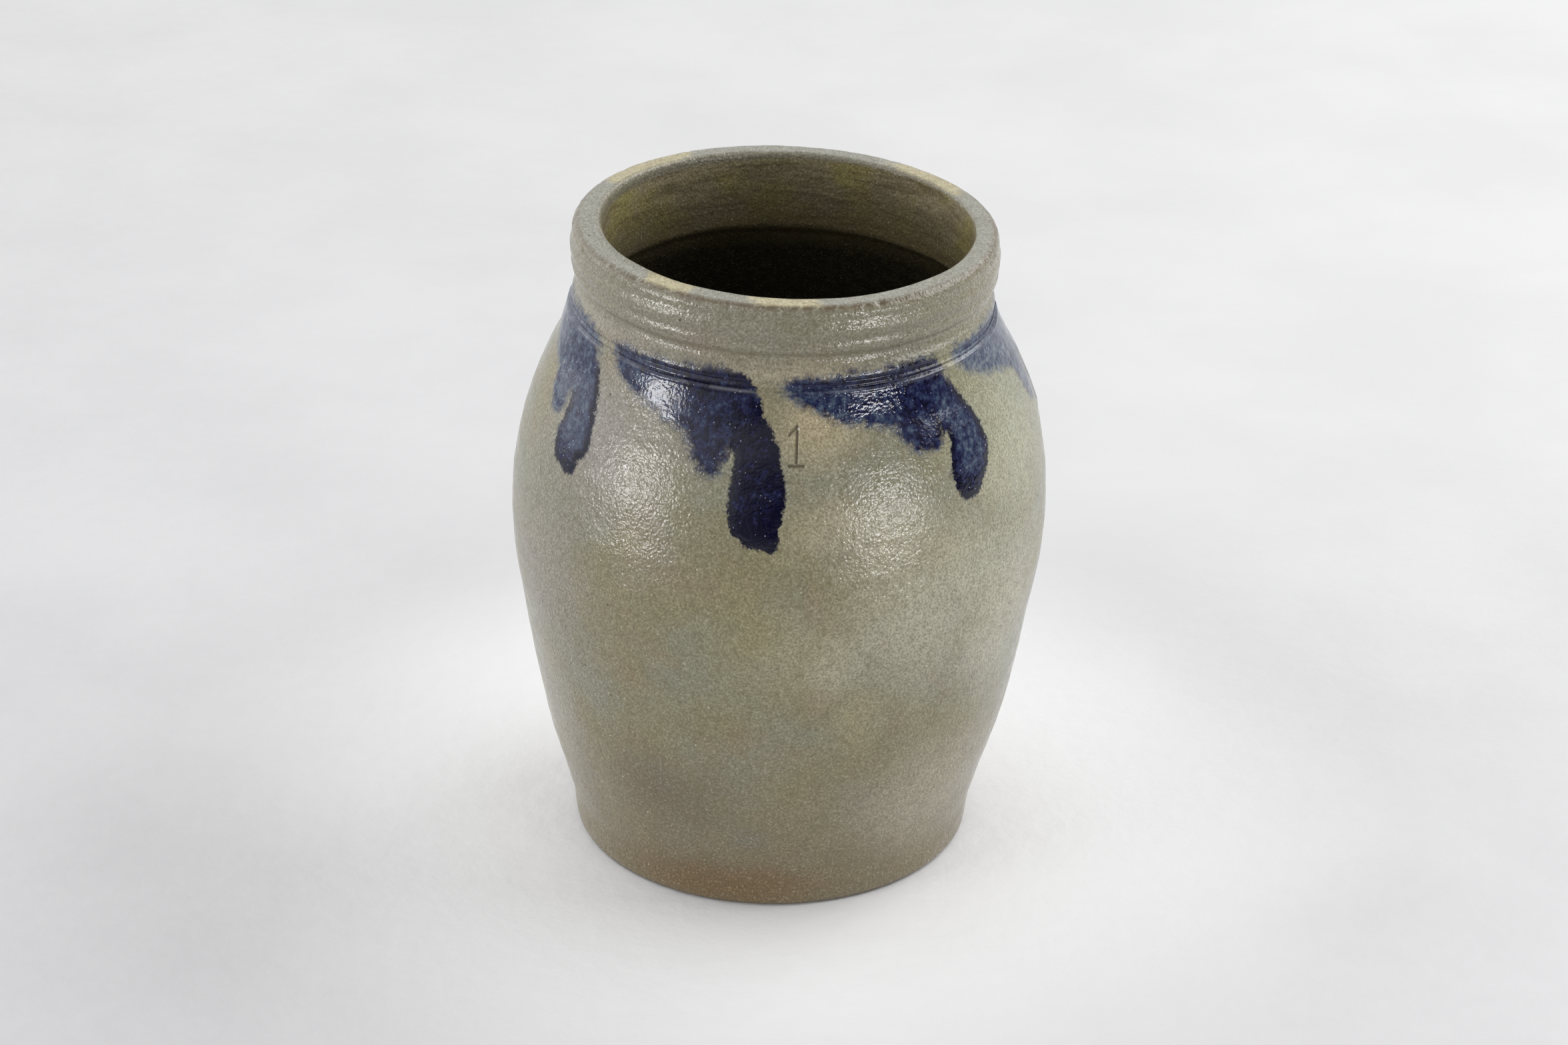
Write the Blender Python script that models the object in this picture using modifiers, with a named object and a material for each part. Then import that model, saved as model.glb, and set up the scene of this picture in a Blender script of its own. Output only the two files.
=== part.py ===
"""Salt-glazed stoneware storage jar with brushed cobalt swags.

The jar is thrown in one piece: floor, ovoid wall, banded neck and collar rim.
The swags are thin skins of slip that lie on the shoulder and hang from an
incised line at the foot of the neck.  Metres, +Z up, origin at the centre of
the foot, and the front of the jar faces -Y.
"""

from math import cos, radians, sin

import bmesh
import bpy
from mathutils import Vector

MM = 0.001

# Driving dimensions of the jar.
HEIGHT = 230.0 * MM
FOOT_RADIUS = 68.9 * MM
BELLY_RADIUS = 93.4 * MM
RIM_RADIUS = 73.5 * MM
MOUTH_RADIUS = 64.4 * MM
WALL = 7.0 * MM
FLOOR = 8.0 * MM
LINE_HEIGHT = 201.0 * MM

# The slip: its thickness, and the clearance between it and the wall.
SLIP = 0.4 * MM
GAP = 0.3 * MM
SKIN_TOP = 208.5 * MM
SKIN_BOTTOM = 146.0 * MM

# Each swag is cut from the coat by a thick plate that stands across the wall.
PLATE_MIDDLE = 0.9 * BELLY_RADIUS
PLATE_HALF_THICKNESS = 0.3 * BELLY_RADIUS

# The swags, anticlockwise from the front when seen from below.  Each has its
# azimuth (0 is the front, +90 is +X), how far its tail reaches to its left, and
# the angle and height of the feet of its short lobe and of its long drip.
SWAGS = {
    "cobalt_swag_front_left": (-7.2, 43.4, -9.0, 173.6 * MM, 4.8, 150.7 * MM),
    "cobalt_swag_front_right": (45.6, 45.2, -11.2, 176.6 * MM, -0.2, 158.5 * MM),
    "cobalt_swag_right": (96.0, 46.0, -9.0, 169.0 * MM, 2.4, 156.0 * MM),
    "cobalt_swag_back_right": (147.5, 43.5, -9.8, 175.0 * MM, 4.0, 153.0 * MM),
    "cobalt_swag_back": (199.5, 45.0, -9.2, 173.0 * MM, 1.2, 158.0 * MM),
    "cobalt_swag_back_left": (251.0, 45.0, -10.4, 178.0 * MM, 3.4, 154.0 * MM),
    "cobalt_swag_left": (303.0, 43.5, -9.0, 174.0 * MM, 3.4, 160.0 * MM),
}

TURNS = 72
WALL_PIECES = 2
MERGE = 0.00005

JAR_COLLECTION = "stoneware_jar_with_cobalt_swags"
CUTTER_COLLECTION = "cutters"


def clear_scene():
    for old in list(bpy.data.objects):
        bpy.data.objects.remove(old, do_unlink=True)


def new_collection(name):
    collection = bpy.data.collections.new(name)
    bpy.context.scene.collection.children.link(collection)
    return collection


def principled(name, color, roughness):
    material = bpy.data.materials.new(name)
    material.use_nodes = True
    shader = material.node_tree.nodes["Principled BSDF"]
    shader.inputs["Base Color"].default_value = (*color, 1.0)
    shader.inputs["Roughness"].default_value = roughness
    shader.inputs["Metallic"].default_value = 0.0
    return material


# Profiles: lists of (radius, height) pairs, in metres.

def smooth_through(points, pieces):
    """Catmull-Rom curve through the points, with this many pieces between two."""
    ends = [2 * points[0] - points[1], *points, 2 * points[-1] - points[-2]]
    curve = []
    for before, start, end, after in zip(ends, ends[1:], ends[2:], ends[3:]):
        for step in range(pieces):
            t = step / pieces
            curve.append(0.5 * (
                2 * start
                + (end - before) * t
                + (2 * before - 5 * start + 4 * end - after) * t ** 2
                + (3 * start - before - 3 * end + after) * t ** 3))
    curve.append(points[-1])
    return curve


def rim_profile():
    """Flat land, rounded corner, grooved collar, pinched neck and its band."""
    drops = (
        (-8.0, 0.0), (-3.2, 0.0), (-1.8, 0.8), (-0.9, 2.2), (-0.5, 3.9),
        (-0.6, 5.3), (0.0, 8.2), (-0.1, 10.2), (-0.7, 11.7), (-0.4, 13.6),
        (-0.9, 16.0), (-2.3, 17.7), (-3.3, 19.4), (-2.9, 21.2), (-1.6, 23.0),
        (-0.7, 24.8), (-0.6, 26.0), (-1.0, 26.9), (-0.4, 28.0))
    return [Vector((RIM_RADIUS + out * MM, HEIGHT - drop * MM)) for out, drop in drops]


def line_profile():
    """The incised line that the swags hang from."""
    cuts = ((-0.1, 0.6), (-0.4, 0.0), (0.3, -0.7))
    return [Vector((RIM_RADIUS + out * MM, LINE_HEIGHT + up * MM)) for out, up in cuts]


def wall_profile():
    """Ovoid wall, from under the incised line down to the hip above the foot."""
    stations = (
        (0.804, 0.856), (0.833, 0.820), (0.894, 0.770), (0.956, 0.700),
        (0.998, 0.600), (0.999, 0.500), (0.964, 0.400), (0.923, 0.300),
        (0.872, 0.200), (0.816, 0.120), (0.775, 0.060))
    points = [Vector((BELLY_RADIUS * out, HEIGHT * up)) for out, up in stations]
    return smooth_through(points, WALL_PIECES)


def foot_profile():
    """Short upright band with a rounded bottom edge."""
    steps = ((2.9, 9.5), (2.4, 5.0), (1.9, 2.0), (1.1, 0.6), (0.0, 0.0))
    return [Vector((FOOT_RADIUS + out * MM, up * MM)) for out, up in steps]


def outer_profile():
    """Outer side of the jar, from the land on the rim down to the foot."""
    return rim_profile() + line_profile() + wall_profile() + foot_profile()


def inner_profile():
    """Floor, belly, the ledge where the neck begins, and the mouth."""
    floor = [
        Vector((0.0, FLOOR)),
        Vector((FOOT_RADIUS * 0.65, FLOOR + 0.3 * MM)),
        Vector((FOOT_RADIUS * 0.82, FLOOR + 1.8 * MM)),
    ]
    belly = [
        Vector((BELLY_RADIUS * out - WALL, HEIGHT * up))
        for out, up in (
            (0.768, 0.070), (0.816, 0.120), (0.872, 0.200), (0.923, 0.300),
            (0.964, 0.400), (0.999, 0.500), (0.998, 0.600), (0.956, 0.700),
            (0.894, 0.770), (0.829, 0.830))
    ]
    mouth = [
        Vector((MOUTH_RADIUS + out * MM, HEIGHT - drop * MM))
        for out, drop in (
            (2.8, 31.6), (0.9, 29.4), (0.0, 28.2), (0.1, 18.0), (0.0, 8.0),
            (0.0, 1.5), (0.4, 0.5))
    ]
    return floor + belly + mouth


def skin_profile():
    """Closed section of the slip coat: the shoulder's profile moved outwards."""
    outer = outer_profile()
    rows = [row for row in range(1, len(outer) - 1) if SKIN_BOTTOM < outer[row].y < SKIN_TOP]

    def moved(row, distance):
        along = outer[row + 1] - outer[row - 1]
        outwards = Vector((-along.y, along.x)).normalized()
        return outer[row] + outwards * distance

    face = [moved(row, GAP + SLIP) for row in rows]
    back = [moved(row, GAP) for row in rows]
    return face + back[::-1]


def shoulder_radius(height):
    """Radius of the outer wall at a height below the rim."""
    outer = outer_profile()
    for upper, lower in zip(outer, outer[1:]):
        if lower.y <= height <= upper.y and upper.y > lower.y:
            share = (upper.y - height) / (upper.y - lower.y)
            return upper.x + (lower.x - upper.x) * share
    raise ValueError("no wall at this height")


# Solids.

def profile_mesh(name, points, closed):
    """A row of edges at +X, ready for a Screw modifier round Z."""
    count = len(points)
    edges = [(row, (row + 1) % count) for row in range(count if closed else count - 1)]
    mesh = bpy.data.meshes.new(name)
    mesh.from_pydata([(point.x, 0.0, point.y) for point in points], edges, [])
    return mesh


def turned(name, mesh, collection):
    thing = bpy.data.objects.new(name, mesh)
    collection.objects.link(thing)
    screw = thing.modifiers.new("turn", "SCREW")
    screw.axis = "Z"
    screw.angle = radians(360.0)
    screw.steps = TURNS
    screw.render_steps = TURNS
    screw.use_merge_vertices = True
    screw.merge_threshold = MERGE
    screw.use_smooth_shade = True
    return thing


def swag_outline(reach, lobe_angle, lobe_foot, drip_angle, drip_foot):
    """Outline of one swag as (degrees, height) pairs, clockwise from its tail.

    The tail starts at -reach, the top edge follows the incised line to 0, the
    long drip hangs below 0 and the short lobe hangs to the left of it.
    """
    top = LINE_HEIGHT + 4.6 * MM
    knee = top - 30.0 * MM
    return (
        (-reach, top - 2.0 * MM),
        (-0.8 * reach, top - 0.3 * MM),
        (-0.4 * reach, top + 0.5 * MM),
        (-0.1 * reach, top - 0.3 * MM),
        (0.0, top - 4.5 * MM),
        (2.8, top - 13.0 * MM),
        (5.9, top - 21.5 * MM),
        (7.6, knee + 1.0 * MM),
        (0.3 * drip_angle + 6.5, 0.5 * (knee + drip_foot)),
        (0.3 * drip_angle + 5.2, drip_foot + 6.5 * MM),
        (drip_angle + 1.6, drip_foot + 0.9 * MM),
        (drip_angle - 1.8, drip_foot + 0.9 * MM),
        (0.3 * drip_angle - 4.0, drip_foot + 5.5 * MM),
        (0.2 * drip_angle - 4.5, 0.5 * (knee + drip_foot)),
        (-3.4, knee + 0.5 * MM),
        (-4.7, knee + 7.5 * MM),
        (-6.0, knee + 3.0 * MM),
        (lobe_angle + 1.6, lobe_foot + 0.8 * MM),
        (lobe_angle - 1.4, lobe_foot + 0.8 * MM),
        (lobe_angle - 5.2, lobe_foot + 6.0 * MM),
        (-0.38 * reach, top - 20.5 * MM),
        (-0.50 * reach, top - 18.0 * MM),
        (-0.73 * reach, top - 14.0 * MM),
        (-0.92 * reach, top - 8.5 * MM))


def outline_cutter(name, outline, azimuth, collection):
    """The outline as a thick plate that faces outwards at this azimuth."""
    middle = 0.5 * (outline[0][0] + outline[7][0])
    curve = bpy.data.curves.new(name, "CURVE")
    curve.dimensions = "2D"
    curve.fill_mode = "BOTH"
    curve.extrude = PLATE_HALF_THICKNESS
    spline = curve.splines.new("BEZIER")
    spline.bezier_points.add(len(outline) - 1)
    spline.use_cyclic_u = True
    spline.resolution_u = 3
    for point, (angle, height) in zip(spline.bezier_points, outline):
        across = shoulder_radius(height) * sin(radians(angle - middle))
        point.co = (across, height, 0.0)
        point.handle_left_type = "AUTO"
        point.handle_right_type = "AUTO"

    # Local Y is up and local Z points away from the axis.
    guide = bpy.data.objects.new(name + "_curve", curve)
    collection.objects.link(guide)
    turn = radians(azimuth + middle)
    guide.rotation_euler = (radians(90.0), 0.0, turn)
    guide.location = Vector((sin(turn), -cos(turn), 0.0)) * PLATE_MIDDLE
    bpy.context.view_layer.update()
    return solid_from_curve(guide, name, collection)


def solid_from_curve(guide, name, collection):
    graph = bpy.context.evaluated_depsgraph_get()
    mesh = bpy.data.meshes.new_from_object(guide.evaluated_get(graph))
    work = bmesh.new()
    work.from_mesh(mesh)
    bmesh.ops.remove_doubles(work, verts=work.verts, dist=MERGE)
    bmesh.ops.recalc_face_normals(work, faces=work.faces)
    work.to_mesh(mesh)
    work.free()
    solid = bpy.data.objects.new(name, mesh)
    solid.matrix_world = guide.matrix_world
    solid.hide_render = True
    solid.display_type = "WIRE"
    collection.objects.link(solid)
    bpy.data.objects.remove(guide, do_unlink=True)
    return solid


def build_jar(collection, clay):
    points = inner_profile() + outer_profile() + [Vector((0.0, 0.0))]
    mesh = profile_mesh("jar_profile", points, closed=False)
    mesh.materials.append(clay)
    return turned("stoneware_jar", mesh, collection)


def build_swag(name, azimuth, outline, coat, collections):
    """One brushed swag: the coat of slip inside the swag's outline."""
    swag = turned(name, coat, collections["parts"])
    cut = swag.modifiers.new("outline", "BOOLEAN")
    cut.operation = "INTERSECT"
    cut.solver = "EXACT"
    cut.object = outline_cutter(name + "_outline", outline, azimuth, collections["cutters"])
    return swag


def main():
    clear_scene()
    collections = {
        "parts": new_collection(JAR_COLLECTION),
        "cutters": new_collection(CUTTER_COLLECTION),
    }
    clay = principled("salt_glazed_stoneware", (0.27, 0.25, 0.18), 0.4)
    build_jar(collections["parts"], clay)

    cobalt = principled("cobalt_slip", (0.025, 0.03, 0.11), 0.25)
    coat = profile_mesh("slip_coat_section", skin_profile(), closed=True)
    coat.materials.append(cobalt)
    for name, (azimuth, *shape) in SWAGS.items():
        build_swag(name, azimuth, swag_outline(*shape), coat, collections)


main()
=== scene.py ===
"""Looks of the salt-glazed stoneware jar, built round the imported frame.

One fine mesh stands for the jar and its cobalt swags.  It is turned from the
profile of the CAD jar, then warped, ringed and worn like hand-thrown ware.
The swags' outlines come from the CAD swags.  Metres, +Z up, front at -Y.
"""

from math import cos, pi, radians, sin, tan

import bmesh
import bpy
import numpy as np
from mathutils import Matrix, Vector, noise
from mathutils.bvhtree import BVHTree


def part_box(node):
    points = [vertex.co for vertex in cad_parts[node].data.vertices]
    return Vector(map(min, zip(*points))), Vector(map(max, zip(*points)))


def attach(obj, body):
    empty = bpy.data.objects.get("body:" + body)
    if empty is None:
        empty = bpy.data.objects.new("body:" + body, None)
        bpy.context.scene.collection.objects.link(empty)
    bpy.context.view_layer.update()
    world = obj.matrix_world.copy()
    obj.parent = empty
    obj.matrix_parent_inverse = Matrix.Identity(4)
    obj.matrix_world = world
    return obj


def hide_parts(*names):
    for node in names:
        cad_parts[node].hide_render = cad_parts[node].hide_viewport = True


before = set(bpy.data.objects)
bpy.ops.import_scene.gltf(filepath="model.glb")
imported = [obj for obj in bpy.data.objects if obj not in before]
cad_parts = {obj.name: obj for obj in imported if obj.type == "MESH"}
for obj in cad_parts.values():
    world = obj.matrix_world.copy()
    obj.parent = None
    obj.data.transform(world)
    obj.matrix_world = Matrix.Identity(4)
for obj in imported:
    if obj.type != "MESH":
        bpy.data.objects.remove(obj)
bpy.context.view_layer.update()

MM = 0.001
JAR = "stoneware_jar"
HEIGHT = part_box(JAR)[1].z

# Millimetres up: the incised line, and the lowest height that slip may reach.
LINE = 201.0
SLIP_FLOOR = 140.0

# How heavy the cobalt lies in each swag's wash, along its line and in its drip.
SWAGS = {
    "cobalt_swag_front_left": (0.8, 0.94, 1.04),
    "cobalt_swag_front_right": (0.72, 0.94, 0.86),
    "cobalt_swag_right": (0.48, 0.64, 0.75),
    "cobalt_swag_back_right": (0.7, 0.9, 0.95),
    "cobalt_swag_back": (0.64, 0.82, 0.9),
    "cobalt_swag_back_left": (0.72, 0.92, 1.0),
    "cobalt_swag_left": (0.5, 0.6, 0.85),
}
# The notch between lobe and drip, in degrees from a swag's right end.
NOTCH = 12.4

# How far out from the wall the CAD's slip has its middle, and how near its
# skin that middle always is.
SKIN_MIDDLE = 0.5 * MM
INSIDE_SKIN = 0.27 * MM

# Millimetres that the slip ran out past the brushed outline, that the brush
# swayed, and that full slip stands proud.
SPREAD = 0.7
SWAY = 1.1
SLIP_RELIEF = 0.22

# Millimetres outside any outline where no slip is anywhere near.
FAR_OUTSIDE = -20.0

# The warp of a hand-thrown, fired jar.
LEAN = radians(0.6)
RIM_TILT = radians(1.2)
RIM_TILT_FROM = 0.75

# Points in each ring, and how much closer they stand round the front.
COLUMNS = 372
FRONT_CROWDING = 0.22

# How close the section is sampled.
SAMPLE = 0.1 * MM

# Ring spacing in mm by the share of the height where it starts, going down.
OUTSIDE_RINGS = ((0.9, 0.8), (0.886, 1.2), (0.862, 0.35), (0.6, 1.25), (0.055, 2.2), (0.0, 1.0))
INSIDE_RINGS = ((0.99, 0.8), (0.84, 1.3), (0.0, 7.0))
BOTTOM_RINGS = 8.0

# Grooves round the collar, the crest under the incised line and the line
# itself: mm up, mm deep and half width.
GROOVES = (
    (225.6, 0.3, 1.0),
    (217.6, 0.22, 0.9),
    (211.4, 0.3, 0.8),
    (LINE - 1.2, -0.3, 0.5),
    (LINE + 0.1, 0.2, 0.4),
)

# The numeral's strokes, in degrees round from the front and mm of height,
# and their width and depth in mm.
NUMERAL = (
    ((3.7, 189.8), (3.4, 178.4)),
    ((3.7, 189.8), (1.7, 187.2)),
    ((1.7, 178.1), (5.1, 178.1)),
)
STROKE = 1.3
STROKE_DEPTH = 0.65

# Degrees and mm beyond the strokes where the faces are finer too.
NUMERAL_MARGIN = (1.2, 1.6)

# Soft patches of colour in the glaze: degrees round, mm up, half width and half
# height in degrees and mm, colour and strength. The pale ones round the right
# side's middle, from 13 to 56 degrees round, are partly painted light: they
# lighten the side where the lights fall.
PATCHES = (
    (-14, 9, 36, 12, (98, 76, 48), 0.75),
    (-6, 31, 7, 6, (102, 103, 92), 0.6),
    (-27, 48, 24, 24, (88, 77, 64), 0.5),
    (-14, 82, 14, 16, (116, 107, 70), 0.5),
    (-2, 114, 17, 26, (130, 122, 82), 0.5),
    (19, 84, 8, 16, (136, 125, 84), 0.5),
    (30, 122, 22, 38, (158, 156, 139), 0.65),
    (-44, 178, 24, 34, (136, 131, 130), 0.6),
    (9, 190, 11, 14, (158, 146, 118), 0.8),
    (14, 158, 18, 14, (154, 143, 118), 0.6),
    (-24, 138, 16, 12, (126, 110, 92), 0.4),
    (25, 148, 17, 22, (164, 156, 132), 0.6),
    (41, 132, 22, 30, (172, 170, 152), 0.6),
    (13, 108, 12, 18, (176, 170, 150), 0.6),
    (62, 168, 24, 34, (154, 156, 134), 0.6),
    (56, 112, 20, 40, (168, 166, 149), 0.65),
    (-62, 62, 16, 36, (140, 136, 124), 0.5),
    (-58, 118, 20, 42, (133, 129, 124), 0.55),
    (-24, 214, 10, 8, (124, 106, 95), 0.45),
    (2, 206, 26, 6, (160, 150, 130), 0.55),
    (-52, 205, 22, 6, (138, 127, 109), 0.5),
    (42, 40, 26, 30, (150, 143, 126), 0.6),
)

# Where the glaze is worn off the rim: degrees round and half width.  The
# rim's outer edge, which is chipped, has this radius in mm.
WORN_LAND = ((-35, 9), (0, 12), (-133, 20), (130, 17))
RIM_EDGE = 71.4


# ---------------------------------------------------------------- profile

def welded(node):
    """The CAD node's mesh with its split corners joined, as a bmesh."""
    work = bmesh.new()
    work.from_mesh(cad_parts[node].data)
    bmesh.ops.remove_doubles(work, verts=work.verts, dist=0.01 * MM)
    work.normal_update()
    return work


def cad_profile():
    """Radii and heights of the CAD jar's section, floor to rim to foot."""
    work = welded(JAR)
    near = 0.02 * MM
    column = {v for v in work.verts if abs(v.co.y) < near and v.co.x > -near}
    here = min(column, key=lambda v: (round(v.co.x, 5), -v.co.z))
    path = []
    while here is not None:
        path.append((max(here.co.x, 0.0), here.co.z))
        column.discard(here)
        steps = [edge.other_vert(here) for edge in here.link_edges]
        here = next((v for v in steps if v in column), None)
    work.free()
    return np.array(path)


def smooth_slopes(place, value):
    """Slopes of a monotone cubic through the values, so it can't overshoot."""
    step = np.diff(place)
    rise = np.diff(value) / step
    same = rise[:-1] * rise[1:] > 0
    before = np.where(same, rise[:-1], 1.0)
    after = np.where(same, rise[1:], 1.0)
    near = 2 * step[1:] + step[:-1]
    far = step[1:] + 2 * step[:-1]
    middle = (near + far) / (near / before + far / after)
    return np.concatenate(([rise[0]], np.where(same, middle, 0.0), [rise[-1]]))


def smooth_curve(place, value, at):
    """The monotone cubic through (place, value), read at these places."""
    slope = smooth_slopes(place, value)
    left = np.clip(np.searchsorted(place, at, side="right") - 1, 0, len(place) - 2)
    step = place[left + 1] - place[left]
    t = (at - place[left]) / step
    ends = value[left] * (1 + 2 * t) * (1 - t) ** 2 + value[left + 1] * t * t * (3 - 2 * t)
    turns = slope[left] * t * (1 - t) ** 2 + slope[left + 1] * t * t * (t - 1)
    return ends + step * turns


def ring_spacing(height, outside):
    """How far apart the rings are at each point of the section."""
    spacing = np.full(len(height), BOTTOM_RINGS * MM)
    for rings, side in ((OUTSIDE_RINGS, outside), (INSIDE_RINGS, ~outside)):
        for start, size in rings[::-1]:
            spacing[side & (height > start * HEIGHT)] = size * MM
    spacing[outside & (height < 0.3 * MM)] = BOTTOM_RINGS * MM
    return spacing


def fine_profile():
    """Radius, height and place along the section of every ring."""
    path = cad_profile()
    chord = np.hypot(*np.diff(path, axis=0).T)
    place = np.concatenate(([0.0], np.cumsum(chord)))
    dense = np.arange(0.0, place[-1], SAMPLE)
    height = smooth_curve(place, path[:, 1], dense)
    rim = place[np.argmax(path[:, 1])]
    count = np.cumsum(SAMPLE / ring_spacing(height, dense > rim))
    rings = int(count[-1])
    at = np.interp(np.linspace(count[0], count[-1], rings), count, dense)
    at[-1] = place[-1]
    return smooth_curve(place, path[:, 0], at), smooth_curve(place, path[:, 1], at), at, rim


# ------------------------------------------------------------------- mesh

def turned(radius, height, place):
    """The fine jar as a bmesh, ring after ring, finer round the front."""
    work = bmesh.new()
    along = work.verts.layers.float.new("place")
    turn = np.linspace(0, 2 * pi, COLUMNS, endpoint=False)
    angle = turn - FRONT_CROWDING * np.sin(turn)
    across, deep = np.sin(angle), -np.cos(angle)
    rings = []
    last = len(radius) - 1
    for index, (r, z, s) in enumerate(zip(radius, height, place)):
        if index in (0, last):
            ring = [work.verts.new((0, 0, z))]
        else:
            ring = [work.verts.new((r * x, r * y, z)) for x, y in zip(across, deep)]
        for vertex in ring:
            vertex[along] = s
        rings.append(ring)
    for upper, lower in zip(rings, rings[1:]):
        for j in range(COLUMNS):
            k = (j + 1) % COLUMNS
            if len(upper) == 1:
                work.faces.new((upper[0], lower[j], lower[k]))
            elif len(lower) == 1:
                work.faces.new((upper[j], lower[0], upper[k]))
            else:
                work.faces.new((upper[j], lower[j], lower[k], upper[k]))
    return work


def refine_numeral(work, rim):
    """Four times finer faces where the numeral is cut in."""
    along = work.verts.layers.float["place"]
    strokes = [point for stroke in NUMERAL for point in stroke]
    left, right = (pick(a for a, z in strokes) for pick in (min, max))
    foot, top = (pick(z for a, z in strokes) for pick in (min, max))
    aside, beyond = NUMERAL_MARGIN
    chosen = []
    for face in work.faces:
        spot = face.calc_center_median()
        around = np.degrees(np.arctan2(spot.x, -spot.y))
        level = spot.z / MM
        inside = left - aside < around < right + aside and foot - beyond < level < top + beyond
        if inside and face.verts[0][along] > rim:
            chosen.append(face)
    edges = list({edge for face in chosen for edge in face.edges})
    bmesh.ops.subdivide_edges(work, edges=edges, cuts=3, use_grid_fill=True)
    work.normal_update()


def rise(value, low, high):
    """Smooth step from 0 at low to 1 at high."""
    t = np.clip((value - low) / (high - low), 0.0, 1.0)
    return t * t * (3 - 2 * t)


def hump(value, middle, width):
    """A soft hump of height 1 over the middle."""
    return np.exp(-((value - middle) / width) ** 2)


def lumps(points, size, octaves=2, shift=0.0):
    """Smooth noise over the points, about -1 to 1, with lumps of this size."""
    move = Vector((shift, 2.3 * shift, -1.7 * shift))
    scaled = points / size
    return np.array([noise.fractal(Vector(p) + move, 1.0, 2.0, octaves) for p in scaled])


def around_gap(around, middle):
    """Signed degrees from the middle, the short way round."""
    return (around - middle + 180) % 360 - 180


# ------------------------------------------------------------------ swags

def swag_trees(node, jar_tree):
    """Trees of a CAD swag's whole skin and of only its edge faces."""
    work = welded(node)
    points = [v.co.copy() for v in work.verts]
    faces = [[v.index for v in face.verts] for face in work.faces]
    outer = [jar_tree.find_nearest(p)[3] > SKIN_MIDDLE for p in points]
    edge = [f for f in faces if len({outer[i] for i in f}) == 2]
    work.free()
    return points, BVHTree.FromPolygons(points, faces), BVHTree.FromPolygons(points, edge)


def slip_amounts(swag, span, gap, below, above):
    """How much slip lies at a point of a swag, and how far it is the drip.

    The span is the swag's left and right end and the gap the point's own place,
    in degrees.  Below and above are mm under its top and over its tip.
    """
    wash, line, tail = swag
    left, right = span
    share = (gap - left) / (right - left)
    drip = rise(gap - right, -NOTCH - 0.8, -NOTCH + 0.8) * rise(below, 7.0, 17.0)
    near_line = hump(below, 4.0, 3.5) * rise(share, 0.0, 0.5)
    body = wash * (0.8 + 0.3 * rise(share, 0.2, 0.8))
    body += (line - body) * near_line
    tip = 1 - rise(above, 1.0, 13.0)
    return body + (tail - body + 0.2 * tip) * drip, drip


def swag_fields(points, normals, around, chosen):
    """Millimetres inside the nearest swag's outline, its load and its drip."""
    jar = welded(JAR)
    jar_tree = BVHTree.FromBMesh(jar)
    jar.free()
    reach = np.full(len(points), FAR_OUTSIDE)
    load = np.zeros(len(points))
    drip = np.zeros(len(points))
    sway = np.stack([lumps(points, 8 * MM, 2, shift) for shift in (21.0, 31.0, 41.0)], axis=1)
    brushed = points + SWAY * MM * sway * chosen[:, None]
    for node, swag in SWAGS.items():
        corners, skin, edge = swag_trees(node, jar_tree)
        spots = np.array(corners)
        low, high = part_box(node)
        foot = spots[np.argmin(spots[:, 2])]
        foot_turn = np.degrees(np.arctan2(foot[0], -foot[1]))
        turns = around_gap(np.degrees(np.arctan2(spots[:, 0], -spots[:, 1])), foot_turn)
        span = turns.min(), turns.max()
        gap = around_gap(around, foot_turn)
        # Only points within a few degrees and millimetres of the swag matter.
        near = chosen & (gap > span[0] - 5) & (gap < span[1] + 5)
        near &= (points[:, 2] > low.z - 5 * MM) & (points[:, 2] < high.z + 4 * MM)
        for index in np.flatnonzero(near):
            out = Vector(normals[index])
            spot = jar_tree.find_nearest(Vector(brushed[index]))[0] + SKIN_MIDDLE * out
            distance = edge.find_nearest(spot)[3] / MM
            if skin.find_nearest(spot)[3] > INSIDE_SKIN:
                distance = -distance
            if distance > reach[index]:
                reach[index] = distance
                below = (high.z - points[index, 2]) / MM
                above = (points[index, 2] - low.z) / MM
                load[index], drip[index] = slip_amounts(swag, span, gap[index], below, above)
    return reach, load, drip


# ------------------------------------------------------------------- clay

def stroke_depth(around, height, radius):
    """How deep the numeral is cut at each point, in millimetres."""
    depth = np.zeros(len(around))
    for (a0, z0), (a1, z1) in NUMERAL:
        run = np.radians(a1 - a0) * radius
        u = np.radians(around - a0) * radius
        v = height - z0
        length = run ** 2 + (z1 - z0) ** 2 + 1e-9
        t = np.clip((u * run + v * (z1 - z0)) / length, 0, 1)
        away = np.hypot(u - t * run, v - t * (z1 - z0))
        depth = np.maximum(depth, STROKE_DEPTH * (1 - rise(away, 0.15, STROKE * 0.62)))
    return depth


def clay_relief(points, around, height, outside, land):
    """Millimetres that throwing, drying and wear moved the surface out."""
    squashed = points * np.array([0.18, 0.18, 1.0])
    rings = 0.11 * lumps(squashed, 3.4 * MM, 2, 5.0) + 0.16 * lumps(squashed, 11 * MM, 1, 9.0)
    dents = 0.45 * lumps(points, 42 * MM, 2, 1.0)
    # The shoulder is pressed in on the right.
    dents -= 1.2 * hump(around_gap(around, 85), 0, 40) * hump(height, 200, 9)
    pits = 0.05 * lumps(points, 3.2 * MM, 2, 3.0)
    collar = rise(height, 203, 210)
    calm = 1 - 0.75 * collar
    worn = 0.14 * lumps(points, 5 * MM, 2, 7.0) * collar
    for middle, deep, half in GROOVES:
        worn = worn - deep * hump(height, middle, half)
    chips = -0.9 * rise(lumps(points, 4.5 * MM, 2, 13.0), 0.42, 0.75) * (height > 226.5) * (1 - land)
    foot = 1 - rise(height, 0.2, 2.5)
    wall = (rings + dents) * calm + pits + worn + chips
    # Inside, the lip is thicker on the left.
    lip = 1.5 * hump(around_gap(around, -90), 0, 55) * rise(height, 190, 215)
    return np.where(outside, wall * (1 - foot), 1.6 * rings + 0.4 * dents + lip)


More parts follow.
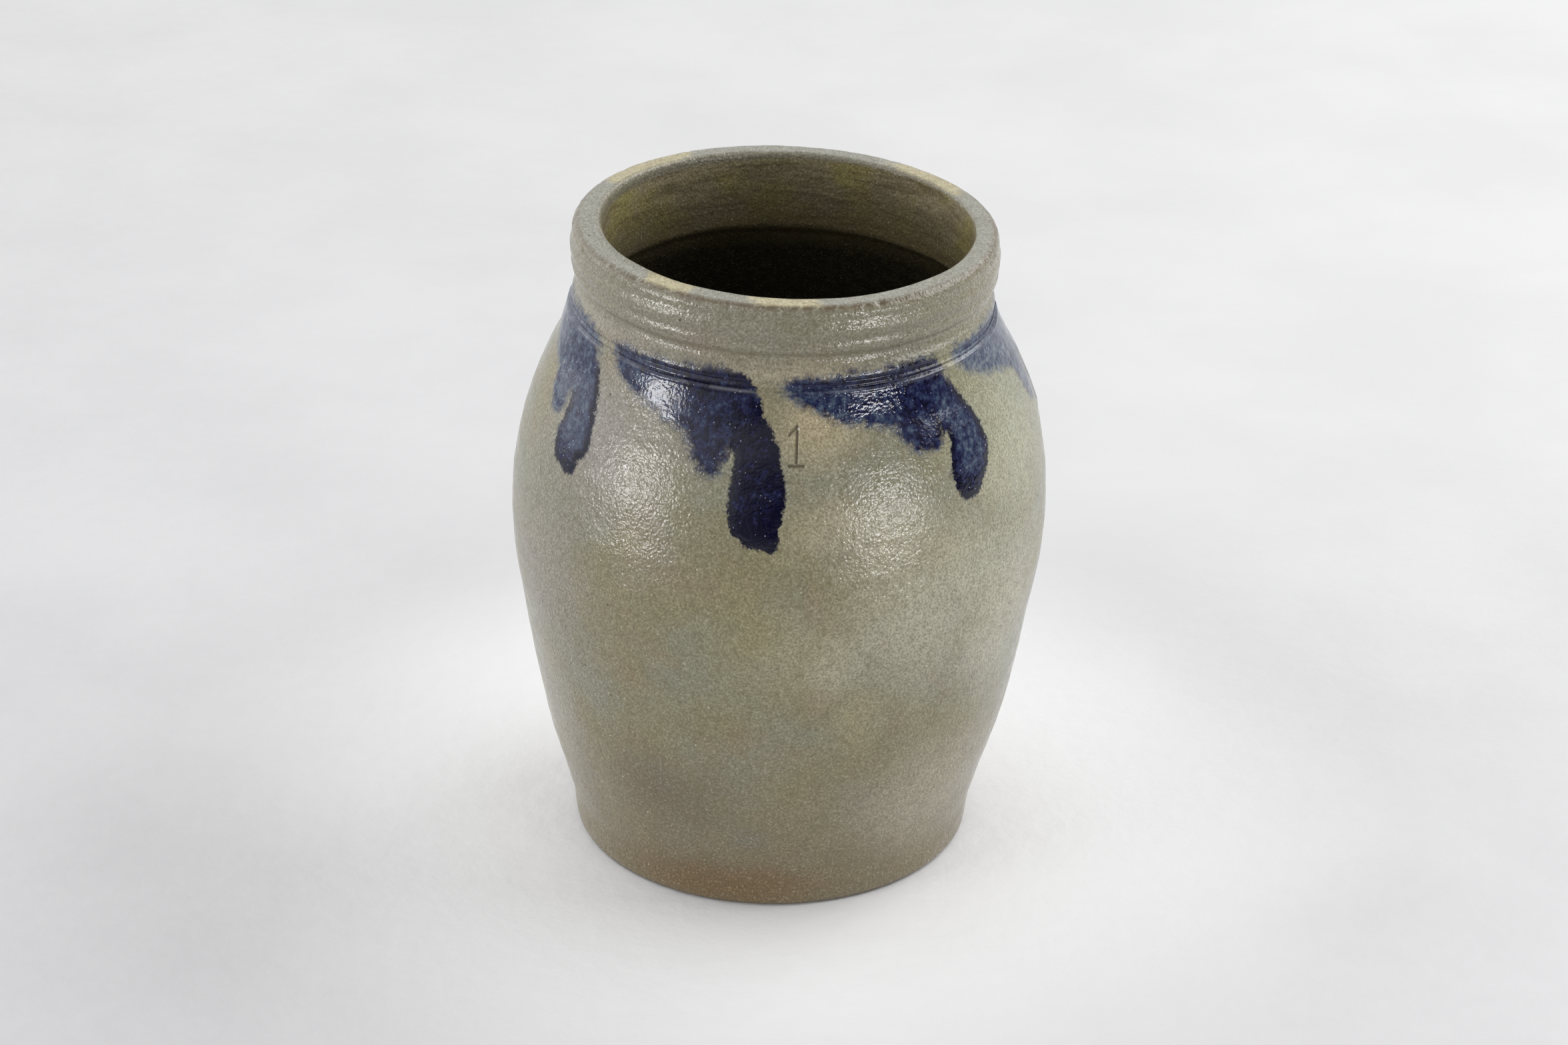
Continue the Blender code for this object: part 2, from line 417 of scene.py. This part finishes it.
def warped(points):
    """Where the leaning, tilted, slightly oval jar has these points."""
    x, y, z = points.T
    turn = np.arctan2(x, -y)
    share = rise(z, 0.0, 0.5 * HEIGHT)
    oval = 1 + 0.0035 * share * np.cos(2 * (turn - radians(35)))
    oval += 0.0012 * share * np.cos(3 * turn + 1.0)
    tilt = rise(z, RIM_TILT_FROM * HEIGHT, HEIGHT) * tan(RIM_TILT)
    return np.stack([x * oval + tan(LEAN) * z, y * oval, z - tilt * x], axis=1)


def store(mesh, name, values):
    """A number on every corner point of the mesh, for the materials."""
    layer = mesh.attributes.new(name, "FLOAT", "POINT")
    layer.data.foreach_set("value", np.asarray(values, dtype=np.float32))


def store_tint(mesh, around, height, outside):
    """The soft patches' colours and how strongly each point has them."""
    colour = np.zeros((len(around), 4), dtype=np.float32)
    weight = np.full(len(around), 1e-6)
    strongest = np.zeros(len(around))
    for middle, up, width, tall, shade, strength in PATCHES:
        far = (around_gap(around, middle) / width) ** 2 + ((height - up) / tall) ** 2
        pull = strength * np.exp(-far) * outside
        colour += (pull[:, None] * np.array(srgb(*shade))).astype(np.float32)
        weight += pull
        strongest = np.maximum(strongest, pull)
    colour /= weight[:, None]
    layer = mesh.attributes.new("patch_colour", "FLOAT_COLOR", "POINT")
    layer.data.foreach_set("color", colour.ravel())
    store(mesh, "patch", strongest)


def make_jar():
    """The whole visible jar as one closed mesh."""
    radius, height, place, rim = fine_profile()
    work = turned(radius, height, place)
    refine_numeral(work, rim)
    along = work.verts.layers.float["place"]
    points = np.array([v.co for v in work.verts])
    normals = np.array([v.normal for v in work.verts])
    place = np.array([v[along] for v in work.verts])
    around = np.degrees(np.arctan2(points[:, 0], -points[:, 1]))
    height = points[:, 2] / MM
    ring = np.hypot(points[:, 0], points[:, 1]) / MM
    outside = place > rim
    land = rise(normals[:, 2], 0.8, 0.96) * (height > 222)
    reach, load, drip = swag_fields(points, normals, around, outside & (height > SLIP_FLOOR))
    cut = stroke_depth(around, height, ring) * outside
    relief = clay_relief(points, around, height, outside, land)
    relief += SLIP_RELIEF * rise(reach, -0.2, 1.2) * (0.3 + load) - cut
    moved = warped(points + relief[:, None] * MM * normals)
    moved[:, 2] -= moved[:, 2].min()
    for vertex, spot in zip(work.verts, moved):
        vertex.co = spot
    mesh = bpy.data.meshes.new("glazed_jar")
    work.to_mesh(mesh)
    work.free()
    mesh.attributes.remove(mesh.attributes["place"])
    mesh.shade_smooth()
    fields = {
        "slip_reach": reach,
        "slip_load": load,
        "slip_drip": drip,
        "inside": ~outside,
        "land": land,
        "land_worn": sum(hump(around_gap(around, a), 0, w) for a, w in WORN_LAND),
        "rim_edge": hump(ring, RIM_EDGE, 0.8) * (height > 227) * outside,
        "crest": hump(height, LINE - 0.9, 0.4) * outside,
        "numeral": cut / STROKE_DEPTH,
        "underside": (normals[:, 2] < -0.9) & (height < 1.0),
    }
    for name, values in fields.items():
        store(mesh, name, values)
    store_tint(mesh, around, height, outside)
    jar = bpy.data.objects.new("glazed_jar", mesh)
    bpy.context.scene.collection.objects.link(jar)
    return jar


# -------------------------------------------------------------- materials

def srgb(red, green, blue):
    """A colour given in the usual 0 to 255 steps, as linear light."""
    parts = [value / 255 for value in (red, green, blue)]
    return tuple(((part + 0.055) / 1.055) ** 2.4 for part in parts) + (1.0,)


GLAZE_IOR = 1.42


class Shading:
    """Builds one material, each call adding a node and wiring its inputs."""

    def __init__(self, name):
        self.material = bpy.data.materials.new(name)
        self.material.use_nodes = True
        self.tree = self.material.node_tree
        self.shader = self.tree.nodes["Principled BSDF"]
        self.place = self.tree.nodes.new("ShaderNodeTexCoord").outputs["Object"]

    def add(self, kind, inputs, **settings):
        """A node with these settings, its sockets fed with values or links."""
        node = self.tree.nodes.new(kind)
        for name, value in settings.items():
            setattr(node, name, value)
        for socket, value in inputs.items():
            self.feed(node.inputs[socket], value)
        return node

    def feed(self, socket, value):
        """Wires a socket's value in, or sets a plain value."""
        if isinstance(value, bpy.types.NodeSocket):
            self.tree.links.new(value, socket)
        else:
            socket.default_value = value

    def field(self, name):
        """A number stored on the mesh."""
        return self.add("ShaderNodeAttribute", {}, attribute_name=name).outputs["Fac"]

    def tint(self, name):
        """A colour stored on the mesh."""
        return self.add("ShaderNodeAttribute", {}, attribute_name=name).outputs["Color"]

    def math(self, kind, *values):
        """One operation of arithmetic on the values."""
        return self.add("ShaderNodeMath", dict(enumerate(values)), operation=kind).outputs[0]

    def times(self, *values):
        """The product of the values."""
        total = values[0]
        for value in values[1:]:
            total = self.math("MULTIPLY", total, value)
        return total

    def plus(self, *values):
        """The sum of the values."""
        total = values[0]
        for value in values[1:]:
            total = self.math("ADD", total, value)
        return total

    def step(self, value, low, high, to_low=0.0, to_high=1.0):
        """Smooth step between two ends."""
        inputs = {"Value": value, "From Min": low, "From Max": high,
                  "To Min": to_low, "To Max": to_high}
        node = self.add("ShaderNodeMapRange", inputs, interpolation_type="SMOOTHSTEP")
        return node.outputs["Result"]

    def mix(self, amount, first, second):
        """The first colour, turned into the second by this amount."""
        inputs = {0: amount, 6: first, 7: second}
        return self.add("ShaderNodeMix", inputs, data_type="RGBA").outputs[2]

    def noise(self, size, detail=2.0, rough=0.55, twist=0.0, place=None):
        """Noise of about 0 to 1 with features of this many millimetres."""
        inputs = {"Vector": place or self.place, "Scale": 1 / (size * MM),
                  "Detail": detail, "Roughness": rough, "Distortion": twist}
        return self.add("ShaderNodeTexNoise", inputs).outputs[0]

    def stretched(self, x, y, z):
        """The object's own coordinates, scaled along each axis."""
        inputs = {0: self.place, 1: (x, y, z)}
        return self.add("ShaderNodeVectorMath", inputs, operation="MULTIPLY").outputs[0]

    def specks(self, size, radius, share):
        """Round specks: cell size and radius in mm, and the share of cells."""
        inputs = {"Vector": self.place, "Scale": 1 / (size * MM)}
        cells = self.add("ShaderNodeTexVoronoi", inputs)
        split = self.add("ShaderNodeSeparateColor", {0: cells.outputs["Color"]})
        edge = radius / size
        spot = self.step(cells.outputs["Distance"], edge, 0.4 * edge)
        return self.times(spot, self.step(split.outputs[0], share, share - 0.02))

    def height(self):
        """Height above the foot in millimetres."""
        split = self.add("ShaderNodeSeparateXYZ", {0: self.place})
        return self.times(split.outputs["Z"], 1 / MM)

    def bump(self, amount, height, before=None):
        """Relief of this many millimetres."""
        inputs = {"Strength": 1.0, "Distance": amount * MM, "Height": height}
        if before is not None:
            inputs["Normal"] = before
        return self.add("ShaderNodeBump", inputs).outputs[0]


def glaze_colour(s, height):
    """The salt glaze over grey and tan clay, without the cobalt."""
    broad = s.noise(34, 2.0)
    warm = s.noise(21, 3.0, twist=0.4)
    colour = s.mix(s.step(broad, 0.36, 0.66), srgb(119, 119, 103), srgb(121, 116, 89))
    colour = s.mix(s.times(s.step(warm, 0.5, 0.72), 0.5), colour, srgb(126, 111, 91))
    low = s.step(s.plus(height, s.times(s.noise(26), 40.0)), 110.0, 30.0)
    colour = s.mix(s.times(low, 0.75), colour, srgb(106, 95, 74))
    neck = s.times(s.step(height, 200.0, 208.0), 0.8)
    colour = s.mix(neck, colour, s.mix(warm, srgb(121, 122, 109), srgb(127, 119, 103)))
    # The soft patches, partly painted light round the right side's middle.
    edges = s.plus(s.field("patch"), s.times(s.plus(s.noise(11, 3.0), -0.5), 0.35))
    return s.mix(s.step(edges, 0.0, 0.85, 0.0, 0.9), colour, s.tint("patch_colour"))


def weathered(s, colour):
    """Speckle, iron specks and pale grains over a colour."""
    grain = s.noise(0.8, 3.0, 0.7)
    blotch = s.noise(3.4, 4.0, 0.65)
    colour = s.mix(s.step(grain, 0.58, 0.36, 0.0, 0.5), colour, srgb(70, 64, 46))
    colour = s.mix(s.step(grain, 0.54, 0.74, 0.0, 0.36), colour, srgb(184, 180, 162))
    colour = s.mix(s.step(blotch, 0.45, 0.7, 0.0, 0.3), colour, srgb(92, 84, 62))
    colour = s.mix(s.times(s.specks(8.0, 0.75, 0.14), 0.8), colour, srgb(48, 42, 32))
    colour = s.mix(s.times(s.specks(3.3, 0.42, 0.12), 0.5), colour, srgb(84, 56, 38))
    return s.mix(s.times(s.specks(4.3, 0.45, 0.14), 0.55), colour, srgb(196, 190, 172))


def cobalt_cover(s):
    """Where the cobalt lies: crisp round drips, feathered under washes."""
    drip = s.field("slip_drip")
    crisp = s.step(s.plus(drip, s.step(s.field("slip_load"), 0.78, 1.0)), 0.1, 0.8)
    brush = s.plus(s.noise(2.8, 4.0, 0.65), -0.5)
    fine = s.plus(s.noise(0.9, 2.0), -0.5)
    torn = s.plus(s.times(brush, s.step(crisp, 0.0, 1.0, 8.0, 2.6)), s.times(fine, 2.8))
    reach = s.plus(s.field("slip_reach"), torn, SPREAD)
    soft = s.step(reach, -1.8, 3.0)
    sharp = s.step(reach, -0.6, 0.7)
    return s.plus(s.times(sharp, crisp), s.times(soft, s.math("SUBTRACT", 1.0, crisp)))


def cobalt_colour(s):
    """The slip from blue-grey where thinly laid to near-black, with pale specks painted on as glints.
    """
    streaks = s.noise(4.0, 4.0, 0.65, place=s.stretched(1.6, 1.6, 0.6))
    mottle = s.noise(2.4, 4.0, 0.7)
    reach = s.field("slip_reach")
    drip = s.field("slip_drip")
    pooled = s.times(s.step(reach, 1.6, 0.2), s.plus(0.06, s.times(drip, 0.2)))
    even = s.times(s.step(s.field("slip_load"), 1.06, 0.9), s.step(streaks, 0.3, 0.6))
    middle = s.times(s.step(reach, 1.0, 3.4), drip, even, -0.42)
    thin_slip_and_crest_glint = s.times(s.step(reach, 2.5, -0.6), s.math("SUBTRACT", 1.0, drip), -0.14)
    load = s.plus(s.field("slip_load"), s.times(s.plus(streaks, -0.5), 1.0),
                  s.times(s.plus(mottle, -0.5), 2.1), pooled, middle, thin_slip_and_crest_glint)
    ramp = s.add("ShaderNodeValToRGB", {0: load})
    stops = ((0.0, srgb(101, 106, 108)), (0.22, srgb(77, 86, 97)), (0.42, srgb(51, 62, 81)),
             (0.6, srgb(33, 41, 66)), (0.78, srgb(20, 22, 52)), (1.0, srgb(5, 5, 26)))
    points = ramp.color_ramp.elements
    for place, colour in stops[2:]:
        points.new(place)
    for point, (place, colour) in zip(points, stops):
        point.position = place
        point.color = colour
    # Painted glints: pale specks over the cobalt, standing in for sparkle off the glaze.
    painted_glints = s.specks(1.7, 0.3, 0.36)
    return s.mix(s.times(painted_glints, 0.6), ramp.outputs["Color"], srgb(160, 165, 182))


def inner_colour(s, height):
    """Olive glaze above the inner ledge, dark brown slip below it. The olive is painted darker
    downwards as painted shade, and paler along the ledge as a painted highlight.
    """
    band = s.noise(7, 3.0, 0.6, place=s.stretched(0.25, 0.25, 1.6))
    olive = s.mix(s.step(s.noise(19, 3.0), 0.38, 0.62), srgb(144, 134, 108), srgb(144, 135, 88))
    olive = s.mix(s.step(band, 0.4, 0.7, 0.0, 0.6), olive, srgb(96, 84, 62))
    lines = s.noise(1.7, 3.0, 0.6, place=s.stretched(0.12, 0.12, 1.0))
    olive = s.mix(s.step(lines, 0.45, 0.68, 0.0, 0.45), olive, srgb(78, 68, 48))
    # Painted shade: the olive darkens further down the neck, where less light reaches.
    deep = s.step(s.plus(height, s.times(s.plus(band, -0.5), 8.0)), 222.0, 200.0)
    olive = s.mix(s.times(deep, 0.8), olive, srgb(68, 60, 42))
    # Painted highlight: a paler band along the inner ledge.
    ledge = s.times(s.step(height, 199.6, 200.6), s.step(height, 202.2, 201.2))
    olive = s.mix(s.times(ledge, 0.35), olive, srgb(124, 116, 92))
    return s.mix(s.step(height, 200.8, 190.0), olive, srgb(34, 30, 23))


def land_colour(s, colour):
    """The rim's flat land: worn cream patches between grey glaze. The grey is a little paler than the
    wall's glaze, partly as painted light on the upward-facing land.
    """
    bare = s.plus(s.field("land_worn"), s.times(s.plus(s.noise(9, 4.0, 0.65), -0.5), 1.1))
    # Partly painted light: the grey is paler because the land faces up.
    grey = s.mix(0.8, colour, srgb(134, 134, 126))
    return s.mix(s.step(bare, 0.35, 0.65, 0.0, 0.85), grey, srgb(170, 160, 124))


def surface_colour(s, height, cover):
    """Glaze, cobalt, numeral, worn rim, inside and foot in one colour, with painted shade in the
    numeral's cuts and a painted highlight along the crest.
    """
    colour = weathered(s, glaze_colour(s, height))
    # Painted shade: the numeral's cut strokes are painted darker.
    colour = s.mix(s.times(s.field("numeral"), 0.8), colour, srgb(72, 62, 42))
    colour = s.mix(cover, colour, cobalt_colour(s))
    # Painted highlight: a pale broken line along the crest under the incised line, where the ridge
    # catches the light.
    thin_slip_and_crest_glint = s.times(s.field("crest"), s.step(s.noise(9, 3.0), 0.42, 0.62), s.step(cover, 0.2, 0.9))
    colour = s.mix(s.times(thin_slip_and_crest_glint, 0.18), colour, srgb(168, 172, 180))
    colour = s.mix(s.field("land"), colour, weathered(s, land_colour(s, colour)))
    chipped = s.times(s.field("rim_edge"), s.step(s.noise(3.4, 4.0, 0.7), 0.36, 0.5))
    colour = s.mix(s.times(chipped, 0.85), colour, srgb(78, 64, 46))
    inner = s.times(s.field("inside"), s.step(height, 228.5, 226.5))
    colour = s.mix(inner, colour, weathered(s, inner_colour(s, height)))
    foot = s.step(s.plus(height, s.noise(6)), 2.4, 0.8)
    colour = s.mix(s.times(foot, 0.7), colour, srgb(70, 60, 44))
    return s.mix(s.field("underside"), colour, srgb(140, 122, 98))


def surface_roughness(s, cover):
    """Glossy salt glaze, glossier cobalt, duller land, inside and foot."""
    gloss = s.noise(7.0, 3.0, 0.65)
    rough = s.step(gloss, 0.3, 0.7, 0.11, 0.25)
    rough = s.plus(rough, s.times(cover, -0.05), s.times(s.field("land"), 0.2))
    rough = s.plus(rough, s.times(s.field("crest"), -0.05))
    return s.plus(rough, s.times(s.field("underside"), 0.4), s.times(s.field("inside"), 0.1))


def orange_peel(s, cover):
    """The salt glaze's fine pitting in two sizes, calmer over the cobalt."""
    smooth = s.step(cover, 0.0, 1.0, 1.0, 0.45)
    peel = s.bump(0.2, s.times(s.noise(2.4, 1.0, 0.5), smooth))
    return s.bump(0.26, s.times(s.noise(1.0, 1.0, 0.5), smooth), peel)


def stoneware():
    """The jar's whole surface."""
    s = Shading("salt_glazed_stoneware_fired")
    height = s.height()
    cover = s.times(cobalt_cover(s), s.math("SUBTRACT", 1.0, s.field("numeral")))
    s.feed(s.shader.inputs["Base Color"], surface_colour(s, height, cover))
    s.feed(s.shader.inputs["Roughness"], surface_roughness(s, cover))
    s.feed(s.shader.inputs["Normal"], orange_peel(s, cover))
    s.feed(s.shader.inputs["IOR"], GLAZE_IOR)
    return s.material


# Across the floor, away from the camera and to the right: the floor is painted paler this way, as
# painted light.
BACK_RIGHT = (0.5, 0.8, 0.0)


def floor_material():
    """Matt white paint with painted light: paler close to the jar, against its shadow, and towards
    the back right, where the lights fall.

    It is painted dark well in front of the jar as painted shade, where the glaze would mirror it.
    """
    s = Shading("floor_paint_with_painted_light")
    # Painted light: paler towards the back right, where the lights fall.
    slant = s.add("ShaderNodeVectorMath", {0: s.place, 1: BACK_RIGHT}, operation="DOT_PRODUCT")
    tone = s.mix(s.step(slant.outputs["Value"], -0.5, 0.6), srgb(176, 176, 178), srgb(183, 183, 184))
    tone = s.mix(s.step(s.noise(120, 3.0), 0.3, 0.7, 0.0, 0.1), tone, srgb(225, 225, 226))
    # Painted light: paler near the jar, against its shadow.
    away = s.add("ShaderNodeVectorMath", {0: s.place}, operation="LENGTH").outputs["Value"]
    tone = s.mix(s.step(away, 0.24, 0.07), tone, srgb(216, 216, 217))
    # Painted shade: dark well in front, for the glaze to mirror.
    deep = s.add("ShaderNodeSeparateXYZ", {0: s.place}).outputs["Y"]
    tone = s.mix(s.step(deep, -0.4, -0.8), tone, srgb(110, 110, 112))
    s.feed(s.shader.inputs["Base Color"], tone)
    s.feed(s.shader.inputs["Roughness"], s.step(s.noise(9.0, 3.0), 0.3, 0.7, 0.6, 0.75))
    s.feed(s.shader.inputs["Normal"], s.bump(0.35, s.noise(9.0, 3.0, 0.6)))
    return s.material


# ------------------------------------------------------------------ scene

# Half the floor's side, in metres.
FLOOR_REACH = 4.0

# Camera: distance back and up in heights of the jar, its angles, and its lens
# in mm.
CAMERA_BACK = 5.297
CAMERA_UP = 3.192
CAMERA_PITCH = radians(26.93)
CAMERA_YAW = radians(0.155)
CAMERA_ROLL = radians(0.856)
CAMERA_LENS = 88.78

# Two windows and a pale wall: degrees round from the front, degrees up, width
# and height in metres, metres away, and power in watts.
WINDOWS = (
    ("window_left", -64, 4, 0.7, 0.42, 2.0, 18),
    ("window_right", 45, 2, 0.8, 0.32, 2.0, 18),
    ("wall_right", 107, 38, 2.7, 1.3, 2.5, 50),
)

# The room's brightness: each fade runs along an axis of the direction looked
# in, from one place to another, with its strength at each.  They add up.
SKY = (1.0, 1.0, 1.0, 1.0)
SKY_FADES = (
    ("Y", -0.3, 0.6, 0.06, 0.85),
    ("X", 0.0, -0.9, 0.0, 1.1),
    ("Z", 0.12, 0.6, 0.0, 0.55),
)


def make_floor():
    """The plain surface that the jar stands on."""
    mesh = bpy.data.meshes.new("floor")
    work = bmesh.new()
    bmesh.ops.create_grid(work, x_segments=8, y_segments=8, size=FLOOR_REACH)
    work.to_mesh(mesh)
    work.free()
    floor = bpy.data.objects.new("floor", mesh)
    floor.data.materials.append(floor_material())
    bpy.context.scene.collection.objects.link(floor)


def make_window(name, around, up, width, tall, away, power):
    """A soft rectangular light that faces the middle of the jar."""
    light = bpy.data.lights.new(name, "AREA")
    light.shape = "RECTANGLE"
    light.size = width
    light.size_y = tall
    light.energy = power
    window = bpy.data.objects.new(name, light)
    window.visible_camera = False
    flat = away * cos(radians(up))
    where = Vector((flat * sin(radians(around)), -flat * cos(radians(around)),
                    away * sin(radians(up)) + HEIGHT / 2))
    aim = where - Vector((0, 0, HEIGHT / 2))
    window.matrix_world = Matrix.Translation(where) @ aim.to_track_quat("Z", "Y").to_matrix().to_4x4()
    bpy.context.scene.collection.objects.link(window)


def make_camera():
    """The camera in front of the jar, looking down at it."""
    lens = bpy.data.cameras.new("camera")
    lens.lens = CAMERA_LENS
    camera = bpy.data.objects.new("camera", lens)
    turn = (Matrix.Rotation(-CAMERA_YAW, 4, "Z") @ Matrix.Rotation(pi / 2 - CAMERA_PITCH, 4, "X")
            @ Matrix.Rotation(CAMERA_ROLL, 4, "Z"))
    camera.matrix_world = Matrix.Translation((0, -CAMERA_BACK * HEIGHT, CAMERA_UP * HEIGHT)) @ turn
    bpy.context.scene.collection.objects.link(camera)
    bpy.context.scene.camera = camera


def make_sky():
    """The pale room, brightest behind, to the left and overhead."""
    scene = bpy.context.scene
    scene.world = bpy.data.worlds.new("room")
    scene.world.use_nodes = True
    tree = scene.world.node_tree
    way = tree.nodes.new("ShaderNodeTexCoord").outputs["Generated"]
    split = tree.nodes.new("ShaderNodeSeparateXYZ")
    tree.links.new(way, split.inputs[0])
    total = None
    for axis, *ends in SKY_FADES:
        fade = tree.nodes.new("ShaderNodeMapRange")
        fade.interpolation_type = "SMOOTHSTEP"
        for name, value in zip(("From Min", "From Max", "To Min", "To Max"), ends):
            fade.inputs[name].default_value = value
        tree.links.new(split.outputs[axis], fade.inputs["Value"])
        if total is None:
            total = fade.outputs["Result"]
            continue
        both = tree.nodes.new("ShaderNodeMath")
        tree.links.new(total, both.inputs[0])
        tree.links.new(fade.outputs["Result"], both.inputs[1])
        total = both.outputs[0]
    background = tree.nodes["Background"]
    background.inputs["Color"].default_value = SKY
    tree.links.new(total, background.inputs["Strength"])
    scene.view_settings.view_transform = "Standard"


def main():
    """The jar, its stage, lights and camera."""
    jar = make_jar()
    jar.data.materials.append(stoneware())
    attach(jar, "root")
    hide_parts(JAR, *SWAGS)
    make_floor()
    make_sky()
    make_camera()
    for window in WINDOWS:
        make_window(*window)


main()
